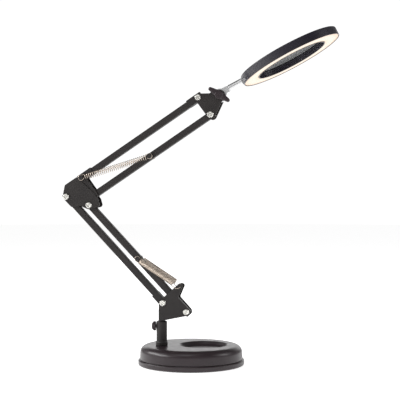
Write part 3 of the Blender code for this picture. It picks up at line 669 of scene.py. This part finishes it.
def thread(radius, low, high):
    """Profile of a thread's crests and roots."""
    points = []
    count = round((high - low) / THREAD_PITCH)
    for k in range(count):
        foot = low + (high - low) * k / count
        points += [(radius - THREAD_DEPTH, foot, 0), (radius, foot + THREAD_PITCH / 2, 0)]
    return points


def hexagon(apothem):
    """Shape for lathe(): a hexagon whose corners are cut by the profile's own radius."""
    def reach(radius, turn):
        return min(radius, apothem / cos(turn % (pi / 3) - pi / 6))
    return reach


def make_pivot_bolt(letter):
    node = f"pivot_bolt_{letter}"
    place = at(PIVOT[letter]) @ FRONT
    profile = [(0, -13.5, 0), (1.6, -13.5, 0)] + thread(2.0, -13.3, -9.8)
    profile += [(2.0, SEAT, 0), (4.85, SEAT, 0.25), (4.85, 10.6, 0.45), (3.9, 11.9, 0.5)]
    profile += [(2.75, 11.9, 0.3), (2.3, 10.9, 0.2), (1.45, 10.9, 0.15)]
    profile += [(1.1, 11.5, 0.3), (0, 11.5, 0)]
    bm = bmesh.new()
    lathe(bm, rounded(profile, steps=4), 48, place)
    bolt = fine(node, bm)
    profile = [(2.02, -12.9, 0), (3.6, -12.9, 0), (4.1, -12.5, 0)]
    profile += [(4.1, -10.1, 0), (3.6, -SEAT, 0), (2.02, -SEAT, 0)]
    bm = bmesh.new()
    lathe(bm, rounded(profile), 72, place, closed=True, shape=hexagon(3.55))
    nut = dress(mesh_object(f"pivot_nut_{letter}", bm), node)
    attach(nut, bolt["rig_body"])


def make_sleeve(letter, half):
    bm = bmesh.new()
    tube_wall(bm, 2.3, 3.2, -half, half, 32, at(PIVOT[letter]) @ FRONT)
    fine(f"sleeve_{letter}", bm)


def peg_profile(shoulder, loop_at):
    """Rod with a grooved shoulder under each spring loop and a flat head beyond it."""
    head = loop_at + 1.3
    end = head + 1.6
    half = [(2.0, shoulder, 0.1), (3.3, shoulder, 0.3), (3.2, loop_at - 0.9, 0.2)]
    half += [(2.95, loop_at, 0.6), (3.2, head - 0.2, 0.2)]
    half += [(3.5, head, 0.1), (3.5, end, 0.6), (0, end, 0)]
    mirrored = [(radius, -height, edge) for radius, height, edge in reversed(half)]
    return rounded(mirrored + half)


def make_peg(node, shoulder, loop_at):
    bm = bmesh.new()
    lathe(bm, peg_profile(shoulder, loop_at), 48, at(middle(node)) @ FRONT)
    fine(node, bm)


def make_fasteners():
    for letter in "abcdef":
        make_pivot_bolt(letter)
        make_sleeve(letter, CHEEK_INNER - GAP)
    for letter in "pq":
        make_sleeve(letter, LINK_INNER - GAP)
    bm = bmesh.new()
    pin = [(0, -LINK_OUTER, 0), (2, -LINK_OUTER, 0.3), (2, LINK_OUTER, 0.3), (0, LINK_OUTER, 0)]
    lathe(bm, rounded(pin), 32, at(PIVOT["q"]) @ FRONT)
    fine("elbow_pin", bm)
    make_peg("lower_spring_peg", TUBE_HALF + GAP, LOWER_SPRING.offset)
    make_peg("upper_spring_peg", TUBE_HALF + GAP, UPPER_SPRING.offset)
    make_peg("elbow_spring_pin", SEAT, UPPER_SPRING.offset)


# ---------------------------------------------------------------- arms

TUBE_HALF = 5.0
TUBE_WALL = 1.0
TUBE_END = 6.0  # past the pivots
SLEEVE_HOLE = 3.5
PIN_HOLE = 2.3
SADDLE_REACH = 18.5
STEEL_EDGE = 0.12
HOLE_SIDES = 32


def square(half, corner, steps=5):
    signs = ((-1, -1), (1, -1), (1, 1), (-1, 1))
    return rounded([(half * x, half * y, corner) for x, y in signs], steps=steps)


def drill(bm, radius, place):
    """Tool for a hole across a bar, from front to rear."""
    rod(bm, radius, -8, 8, HOLE_SIDES, place @ FRONT)


def make_bar(node, pivot, angle, length, peg=None):
    """Drawn square tube with its cross holes."""
    place = at(pivot, angle)
    bm = bmesh.new()
    loops = [square(TUBE_HALF, 1.3), square(TUBE_HALF - TUBE_WALL, 0.45)]
    prism(bm, loops, -TUBE_END, length + TUBE_END, place @ ALONG)
    tube = mesh_object(f"{node}_fine", bm)
    holes = bmesh.new()
    for reach in (0.0, length):
        drill(holes, SLEEVE_HOLE, place @ Matrix.Translation((reach, 0, 0)))
    if peg:
        drill(holes, PIN_HOLE, at(peg))
    carve(tube, ("DIFFERENCE", holes))
    stand_for(tube, node, STEEL_EDGE)


def make_saddle(node, pivot, angle, low, high, pivot_reach=0.0):
    """Bent U clip from low to high along a tube; its web lies on the tube's outer side."""
    place = at(pivot, angle)
    section = [(-6.4, -5, 0.2), (-6.4, 6.4, 1.6), (6.4, 6.4, 1.6), (6.4, -5, 0.2)]
    section += [(5.3, -5, 0.2), (5.3, 5.3, 0.5), (-5.3, 5.3, 0.5), (-5.3, -5, 0.2)]
    across = Matrix(((0, 0, 1, 0), (1, 0, 0, 0), (0, 1, 0, 0), (0, 0, 0, 1)))
    bm = bmesh.new()
    prism(bm, [rounded(section)], low, high, place @ across)
    clip = mesh_object(f"{node}_fine", bm)
    hole = bmesh.new()
    drill(hole, SLEEVE_HOLE, place @ Matrix.Translation((pivot_reach, 0, 0)))
    carve(clip, ("DIFFERENCE", hole))
    stand_for(clip, node, STEEL_EDGE)


def make_arms():
    make_bar("lower_rear_bar", PIVOT["a"], LOWER_ANGLE, LOWER_LENGTH)
    make_bar("lower_front_bar", PIVOT["b"], LOWER_ANGLE, LOWER_LENGTH, LOWER_PEG)
    make_bar("upper_top_bar", PIVOT["p"], UPPER_ANGLE, UPPER_LENGTH)
    make_bar("upper_bottom_bar", PIVOT["q"], UPPER_ANGLE, UPPER_LENGTH, UPPER_PEG)
    make_saddle("lower_rear_saddle", PIVOT["a"], LOWER_ANGLE, -TUBE_END, SADDLE_REACH)
    make_saddle("upper_saddle_elbow", PIVOT["p"], UPPER_ANGLE, -TUBE_END, SADDLE_REACH)
    low, high = UPPER_LENGTH - SADDLE_REACH, UPPER_LENGTH + TUBE_END
    make_saddle("upper_saddle_head", PIVOT["p"], UPPER_ANGLE, low, high, UPPER_LENGTH)


# ---------------------------------------------------------------- sheet-steel brackets

SHEET_EDGE = 0.25
TURRET_OUTLINE = [
    (-45.9, 67.3, 0.5),
    (-42.3, 67.3, 0.5),
    (-41.6, 69.0, 0.5),
    (-35.8, 68.9, 2.0),
    (7.3, 77.9, 5.8),
    (-16.1, 103.4, 3.0),
    (-8.0, 122.2, 3.4),
    (-15.0, 124.0, 3.4),
    (-45.6, 96.8, 5.4),
]
ELBOW_OUTLINE = [
    (-181.0, 238.0, 4.0),
    (-166.5, 239.8, 2.0),
    (-155.0, 234.6, 5.0),
    (-136.0, 239.0, 4.0),
    (-139.5, 251.0, 6.0),
    (-145.9, 259.3, 4.0),
    (-172.9, 283.7, 1.5),
    (-191.4, 271.6, 2.5),
    (-195.2, 252.6, 5.0),
]
HEAD_OUTLINE = [
    (2.8, 407.6, 5.6),
    (34.8, 363.4, 6.0),
    (50.6, 397.2, 6.0),
    (55.6, 412.2, 6.0),
    (36.0, 412.2, 4.0),
    (31.5, 407.6, 3.0),
]
WEB = ((-45.9, 70.0), (-44.7, 85.0))  # low and high corners of the turret's bent web
IN_PLANE = Matrix.Translation((0.0, POST.y, 0.0)) @ Matrix.Scale(MM, 4) @ FRONT


def round_hole(point, radius):
    turns = [2 * pi * k / HOLE_SIDES for k in range(HOLE_SIDES)]
    return [(point.x / MM + radius * cos(t), point.z / MM + radius * sin(t)) for t in turns]


def plate(corners, holes, side):
    """Cheek from an outline in the plane of the arms; side is 1 at the front and -1 at the rear."""
    loops = [rounded(corners, steps=10)] + [round_hole(point, radius) for point, radius in holes]
    low, high = sorted((side * CHEEK_INNER, side * CHEEK_FACE))
    bm = bmesh.new()
    prism(bm, loops, low, high, IN_PLANE)
    return bm


def make_brackets():
    elbow_holes = [(PIVOT["c"], PIN_HOLE), (PIVOT["d"], PIN_HOLE)]
    head_holes = [(PIVOT["e"], PIN_HOLE), (PIVOT["f"], PIN_HOLE), (PIVOT["t"], TILT_HOLE)]
    for name, side in (("front", 1), ("rear", -1)):
        fine(f"elbow_cheek_{name}", plate(ELBOW_OUTLINE, elbow_holes, side), SHEET_EDGE)
        fine(f"head_cheek_{name}", plate(HEAD_OUTLINE, head_holes, side), SHEET_EDGE)
        refined(f"elbow_link_{name}", SHEET_EDGE)
    turret_holes = [(PIVOT["a"], PIN_HOLE), (PIVOT["b"], PIN_HOLE), (HOOK_HOLE, 1.6)]
    ears = [plate(TURRET_OUTLINE, turret_holes, side) for side in (1, -1)]
    (left, low), (right, high) = WEB
    web = bmesh.new()
    outline = [(left, low), (right, low), (right, high), (left, high)]
    prism(web, [outline], -CHEEK_FACE, CHEEK_FACE, IN_PLANE)
    bracket = mesh_object("turret_bracket_fine", ears[0])
    carve(bracket, ("UNION", web), ("UNION", ears[1]))
    stand_for(bracket, "turret_bracket", SHEET_EDGE)
    refined("spigot", 0.35)


# ---------------------------------------------------------------- springs


class Coil:
    """A tension spring's sizes in millimetres; `offset` is from the plane of the arms."""

    def __init__(self, offset, radius, wire, turns):
        self.offset = offset
        self.radius = radius  # to the wire's middle
        self.wire = wire
        self.turns = turns


LOWER_SPRING = Coil(offset=10.6, radius=4.1, wire=0.55, turns=50)
UPPER_SPRING = Coil(offset=12.4, radius=3.3, wire=0.5, turns=32)
PIN_LOOP = 3.95  # radius of the end loops round the pegs
PIN_REACH = 5.0  # from a peg to the first turn
HOOK_REACH = 12.0  # from the turret's hole to the first turn
COIL_STEPS = 20
WIRE_SIDES = 8


def smooth_path(points, steps=8):
    """Curve through points, by Catmull-Rom."""
    ends = [points[0] * 2 - points[1], *points, points[-1] * 2 - points[-2]]
    path = []
    for p0, p1, p2, p3 in zip(ends, ends[1:], ends[2:], ends[3:]):
        for k in range(steps):
            t = k / steps
            square_term = (2 * p0 - 5 * p1 + 4 * p2 - p3) * t * t
            cube_term = (3 * p1 - p0 - 3 * p2 + p3) * t * t * t
            path.append(0.5 * (2 * p1 + (p2 - p0) * t + square_term + cube_term))
    return path + [points[-1]]


def pin_loop(coil):
    """Round a pin at the local origin and up to the first turn's start, in the local XZ plane."""
    turns = [radians(340 - 25 * k) for k in range(12)]
    loop = [Vector((PIN_LOOP * cos(t), 0.0, PIN_LOOP * sin(t))) for t in turns]
    end = Vector((PIN_REACH, 0.0, coil.radius))
    return loop + [end + Vector((-0.8, 0.0, 0.1)), end]


def hole_hook(coil, side):
    """From behind the ear, through its hole at the origin, and in an arc to the first turn."""
    points = [(5.4, 3.5, -1.6), (3.2, 3.9, -2.2), (1.0, 3.6, -1.7), (0.0, 2.6, -0.6)]
    points += [(0.0, 1.2, 0.5), (0.6, 0.1, 2.1), (2.4, -0.3, 3.7)]
    points += [(4.8, -0.2, 4.5), (7.4, 0.0, 4.5)]
    points += [(HOOK_REACH - 1.0, 0.0, coil.radius + 0.1), (HOOK_REACH, 0.0, coil.radius)]
    return [Vector((reach, -side * inward, height)) for reach, inward, height in points]


def coil_turns(coil, start, end):
    """The helix about local X; it starts and ends at the top."""
    count = coil.turns * COIL_STEPS
    for k in range(1, count):
        t = 2 * pi * k / COIL_STEPS
        reach = start + (end - start) * k / count
        yield Vector((reach, coil.radius * sin(t), coil.radius * cos(t)))


def make_spring(node, coil, start, end, side, through_hole):
    """Spring from start to end; side is 1 at the rear and -1 at the front."""
    length = (end - start).length / MM
    first = hole_hook(coil, side) if through_hole else pin_loop(coil)
    last = [Vector((length - point.x, 0.0, point.z)) for point in reversed(pin_loop(coil))]
    turns = list(coil_turns(coil, first[-1].x, last[0].x))
    path = smooth_path(first) + turns + smooth_path(last)
    place = at(start + Vector((0.0, side * coil.offset * MM, 0.0)), angle_between(start, end))
    bm = bmesh.new()
    sweep(bm, [place @ point for point in path], coil.wire * MM, WIRE_SIDES)
    spring = dress(mesh_object(f"{node}_fine", bm), node)
    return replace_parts(spring, node)


def make_springs():
    for name, side in (("front", -1), ("rear", 1)):
        node = f"lower_spring_{name}"
        spring = make_spring(node, LOWER_SPRING, HOOK_HOLE, LOWER_PEG, side, True)
        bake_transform(spring)
        node = f"upper_spring_{name}"
        spring = make_spring(node, UPPER_SPRING, PIVOT["p"], UPPER_PEG, side, False)
        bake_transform(spring)


# ---------------------------------------------------------------- tilt hinge

TILT_HOLE = 3.3
WING_TURN = radians(-33.0)
HUB_RADIUS = 6.3
WING_ROOT = 6.0  # radius of the circle that the wings' sides leave
WING_DISTANCE = 15.6
WING_TIP = 2.9
WING_REACH = WING_DISTANCE + WING_TIP


def winged(radius, turn):
    """Round up to the hub's radius; what is wider tapers to a round tip along local X."""
    root = WING_ROOT - (WING_REACH - radius)
    tip = WING_TIP - (WING_REACH - radius)
    if tip <= 0:
        return min(radius, HUB_RADIUS)
    slope = acos((root - tip) / WING_DISTANCE)
    along, across = abs(cos(turn)), abs(sin(turn))
    angle = atan2(across, along)
    if angle > slope:
        return HUB_RADIUS
    if angle > atan2(tip * sin(slope), WING_DISTANCE + tip * cos(slope)):
        return max(root / cos(angle - slope), HUB_RADIUS)
    return WING_DISTANCE * along + (tip * tip - (WING_DISTANCE * across) ** 2) ** 0.5


def make_wing_knob():
    profile = [(0, 17.3, 0), (TILT_HOLE, 17.3, 0.2), (TILT_HOLE, SEAT, 0.2)]
    profile += [(HUB_RADIUS, SEAT, 0.4), (HUB_RADIUS, 12.0, 0.1)]
    profile += [(WING_REACH, 12.1, 1.6), (WING_REACH, 17.4, 1.9), (HUB_RADIUS, 17.5, 0.1)]
    profile += [(5.6, 18.3, 0.4), (0, 18.3, 0)]
    bm = bmesh.new()
    place = at(PIVOT["t"], WING_TURN) @ FRONT
    lathe(bm, rounded(profile, steps=6), 240, place, shape=winged)
    fine("wing_knob", bm)


def make_tilt_hinge():
    make_wing_knob()
    profile = [(0, -13.7, 0), (4.9, -13.7, 0), (5.7, -13.2, 0), (5.7, -9.8, 0), (5.3, -SEAT, 0)]
    profile += [(3.0, -SEAT, 0)] + thread(3.0, 9.4, 16.6) + [(2.4, 17.0, 0), (0, 17.0, 0)]
    bm = bmesh.new()
    lathe(bm, rounded(profile), 72, at(PIVOT["t"]) @ FRONT, shape=hexagon(5.0))
    fine("tilt_bolt", bm)
    for side, low, high in (("front", 5.3, 7.9), ("rear", -7.9, -5.3)):
        bm = bmesh.new()
        tube_wall(bm, TILT_HOLE, 8.0, low, high, 48, at(PIVOT["t"]) @ FRONT, 0.3)
        fine(f"tilt_washer_{side}", bm)


# ---------------------------------------------------------------- stem and head

STEM_RADIUS = 5.4
LUG_RADIUS = 10.0
LUG_END = 15.4
LUG_ARC = (52, 296)  # degrees
LUG_STEPS = 44
SCREW_RADIUS = 2.1
RING_RADIUS = 78.5
RING_OPENING = 53.5
RING_HALF = 6.5
RING_SIDES = 200
LENS_RADIUS = 53.1
LENS_LOW = 2.4  # the flat face, from the ring's middle
LENS_EDGE = 2.0
LENS_BULGE = 4.4
LENS_GROUND = 0.25
LENS_STEPS = 28


def lug_outline():
    """Round end about the hinge and a neck nearly as high as the stem, joined by tangents."""
    low = STEM_RISE - STEM_RADIUS + 0.6
    high = STEM_RISE + STEM_RADIUS - 0.6
    first, last = LUG_ARC
    turns = [radians(first + (last - first) * k / LUG_STEPS) for k in range(LUG_STEPS + 1)]
    outline = [(LUG_RADIUS * cos(t), LUG_RADIUS * sin(t)) for t in turns]
    return outline + [(11.0, low), (LUG_END, low), (LUG_END, high), (11.0, high)]


def make_stem():
    turns = [2 * pi * k / 48 for k in range(48)]
    bore = [(TILT_HOLE * cos(t), TILT_HOLE * sin(t)) for t in turns]
    bm = bmesh.new()
    prism(bm, [lug_outline(), bore], -5, 5, HEAD @ FRONT)
    lug = mesh_object("tilt_lug_fine", bm)
    tenon = bmesh.new()
    profile = rounded([(0, 10.5, 0), (4.1, 10.5, 0.2), (4.1, 26, 0.4), (0, 26, 0)])
    lathe(tenon, profile, 64, STEM)
    carve(lug, ("UNION", tenon))
    stand_for(lug, "tilt_lug")

    end = RING_DISTANCE - RING_RADIUS - GAP
    section = [(4.4, 16.2, 0.2), (STEM_RADIUS, 16.2, 0.6), (STEM_RADIUS, end, 0.5)]
    section += [(SCREW_RADIUS, end, 0.2), (SCREW_RADIUS, end - 9, 0.2), (4.4, end - 9, 0.3)]
    bm = bmesh.new()
    lathe(bm, rounded(section), 96, STEM, closed=True)
    fine("stem_tube", bm)


def make_shell():
    """Ring channel that opens downwards, its ledge over the lens, its diffuser and retainer."""
    rim = RING_RADIUS - 1.3
    inner = RING_OPENING + 1.5
    ledge = RING_OPENING - 1.9
    ceiling = RING_HALF - 2.2
    section = [(RING_RADIUS, -RING_HALF, 0.5), (RING_RADIUS, RING_HALF, 1.6)]
    section += [(ledge, RING_HALF, 0.7), (ledge, RING_HALF - 1.5, 0.3)]
    section += [(RING_OPENING, RING_HALF - 1.5, 0.15)]
    section += [(RING_OPENING, -RING_HALF, 0.45), (inner, -RING_HALF, 0.4), (inner, ceiling, 0.5)]
    section += [(rim, ceiling, 0.5), (rim, -RING_HALF, 0.3)]
    bm = bmesh.new()
    lathe(bm, rounded(section), RING_SIDES, RING, closed=True)
    shell = mesh_object("head_shell_fine", bm)
    wall = RING_DISTANCE - RING_RADIUS
    hole = bmesh.new()
    rod(hole, SCREW_RADIUS, wall - 3, wall + 3, HOLE_SIDES, STEM)
    carve(shell, ("DIFFERENCE", hole))
    stand_for(shell, "head_shell")

    bm = bmesh.new()
    low = -RING_HALF + 0.6
    tube_wall(bm, inner + GAP, rim - GAP, low, low + 1.5, RING_SIDES, RING, 0.35)
    fine("diffuser", bm)
    bm = bmesh.new()
    high = LENS_LOW - GAP
    tube_wall(bm, ledge, RING_OPENING - GAP, high - 1.5, high, RING_SIDES, RING, 0.3)
    fine("lens_retainer", bm)


CHIPS = 48
CHIP_CIRCLE = 66.5  # radius


def make_chips():
    """Square light chips with round domes on the board's underside."""
    bm = bmesh.new()
    body = square(1.4, 0.2, steps=2)
    dome = rounded([(0, 1.65, 0), (1.1, 1.65, 0), (0.8, 1.35, 0.2), (0, 1.3, 0)], steps=3)
    for k in range(CHIPS):
        turned = RING @ Matrix.Rotation(2 * pi * k / CHIPS, 4, "Z")
        spot = turned @ Matrix.Translation((CHIP_CIRCLE, 0, 0))
        prism(bm, [body], 1.7, 2.35, spot)
        lathe(bm, dome, 16, spot)
    chips = mesh_object("led_chips", bm)
    chips.data.materials.append(LOOKS["chip"])
    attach(chips, "head")


def make_lens():
    """Flat below and domed above, with ground bevels along its edge."""
    curve = (LENS_RADIUS ** 2 + LENS_BULGE ** 2) / (2 * LENS_BULGE)
    rim = LENS_LOW + LENS_EDGE
    face = LENS_RADIUS - LENS_GROUND
    profile = [(0.0, LENS_LOW), (face, LENS_LOW)]
    profile += [(LENS_RADIUS, LENS_LOW + LENS_GROUND), (LENS_RADIUS, rim - LENS_GROUND)]
    for k in range(LENS_STEPS, -1, -1):
        reach = face * k / LENS_STEPS
        profile.append((reach, rim + LENS_BULGE - curve + (curve * curve - reach * reach) ** 0.5))
    bm = bmesh.new()
    lathe(bm, profile, RING_SIDES, RING)
    fine("lens", bm)


def make_head():
    make_stem()
    make_shell()
    make_chips()
    make_lens()


# ---------------------------------------------------------------- studio

CAMERA_PLACE = Vector((0.2518, -1.5052, 0.2489))
CAMERA_AZIMUTH = radians(9.0)
CAMERA_LENS = 90.72
WORLD_FRONT = 0.42  # brightness of what the lamp reflects
WORLD_BACK = 0.28
WORLD_TOP = 0.16
WORLD_SEEN = 1.05  # brightness of what the camera sees
FLOOR_RADIUS = 9.0
FLOOR_GLOW = 0.80
WHITE = (1.0, 1.0, 1.0, 1.0)
LIGHTS = {  # place, aim, width and height, watts
    "strip": ((-1.9, -0.4, 1.0), (0.0, 0.0, 0.03), (2.2, 0.5), 34.0),
    "front": ((-0.2, -1.4, 2.0), (0.0, 0.0, 0.15), (1.4, 1.0), 8.0),
    "side": ((1.8, 0.1, 1.0), (0.12, 0.0, 0.42), (0.8, 0.7), 7.0),
    "back": ((-0.2, 2.8, 0.75), (0.0, 0.0, 0.05), (3.0, 1.1), 14.0),
}


def make_camera():
    camera = bpy.data.objects.new("camera", bpy.data.cameras.new("camera"))
    camera.data.lens = CAMERA_LENS
    camera.data.sensor_width = 36.0
    camera.data.clip_start = 0.05
    camera.data.clip_end = 60.0
    camera.location = CAMERA_PLACE
    camera.rotation_euler = (radians(90), 0.0, CAMERA_AZIMUTH)
    bpy.context.scene.collection.objects.link(camera)
    bpy.context.scene.camera = camera


def make_floor():
    """Large pale sheet with a faint paper grain, lit from within so that it stays white."""
    bm = bmesh.new()
    bmesh.ops.create_circle(bm, cap_ends=True, radius=FLOOR_RADIUS, segments=96)
    floor = mesh_object("floor", bm)
    floor.location.z = -0.1 * MM
    paint = Paint("paper", Roughness=0.9, Emission_Strength=FLOOR_GLOW, Emission_Color=WHITE)
    ground = paint.spread(paint.noise(60.0), (0.90, 0.90, 0.90), (0.93, 0.93, 0.93))
    paint.link("Base Color", ground)
    floor.data.materials.append(LOOKS["paper"])


def make_world():
    """White backdrop. What the lamp reflects is brightest low in front of it and dim overhead."""
    world = bpy.data.worlds.new("studio")
    world.use_nodes = True
    bpy.context.scene.world = world
    tree = world.node_tree
    tree.nodes.clear()

    def node(kind, inputs, **settings):
        made = tree.nodes.new(kind)
        for key, value in settings.items():
            setattr(made, key, value)
        for key, value in inputs.items():
            if isinstance(value, bpy.types.NodeSocket):
                tree.links.new(value, made.inputs[key])
            else:
                made.inputs[key].default_value = value
        return made

    def fade(value, start, end, first, last):
        span = {"Value": value, "From Min": start, "From Max": end}
        span |= {"To Min": first, "To Max": last}
        made = node("ShaderNodeMapRange", span, interpolation_type="SMOOTHSTEP")
        return made.outputs["Result"]

    where = node("ShaderNodeTexCoord", {})
    split = node("ShaderNodeSeparateXYZ", {"Vector": where.outputs["Generated"]})
    level = fade(split.outputs["Y"], -0.5, 0.7, WORLD_FRONT, WORLD_BACK)
    overhead = fade(split.outputs["Z"], 0.15, 0.55, 0.0, 1.0)
    sides = node("ShaderNodeMix", {"Factor": overhead, "A": level, "B": WORLD_TOP})
    seen = node("ShaderNodeLightPath", {}).outputs["Is Camera Ray"]
    pick = node("ShaderNodeMix", {"Factor": seen, "A": sides.outputs["Result"], "B": WORLD_SEEN})
    shade = {"Color": WHITE, "Strength": pick.outputs["Result"]}
    background = node("ShaderNodeBackground", shade)
    node("ShaderNodeOutputWorld", {"Surface": background.outputs["Background"]})


def make_light(name, place, aim, size, power):
    """Soft white panel that neither the camera nor the glass shows."""
    data = bpy.data.lights.new(name, "AREA")
    data.shape = "RECTANGLE"
    data.size, data.size_y = size
    data.energy = power
    light = bpy.data.objects.new(name, data)
    light.visible_camera = False
    light.visible_transmission = False
    light.location = place
    towards = Vector(aim) - Vector(place)
    light.rotation_euler = towards.to_track_quat("-Z", "Y").to_euler()
    bpy.context.scene.collection.objects.link(light)


def make_studio():
    make_camera()
    make_floor()
    make_world()
    for name, light in LIGHTS.items():
        make_light(name, *light)
    bpy.context.scene.view_settings.view_transform = "Standard"


# ---------------------------------------------------------------- lamp

make_looks()
make_studio()
make_base()
make_post()
make_clamp_screw()
make_fasteners()
make_arms()
make_brackets()
make_springs()
make_tilt_hinge()
make_head()
for node, obj in frame["nodes"].items():
    if not obj.hide_render:
        obj.material_slots[0].material = LOOKS[SLOT_OF[node]]
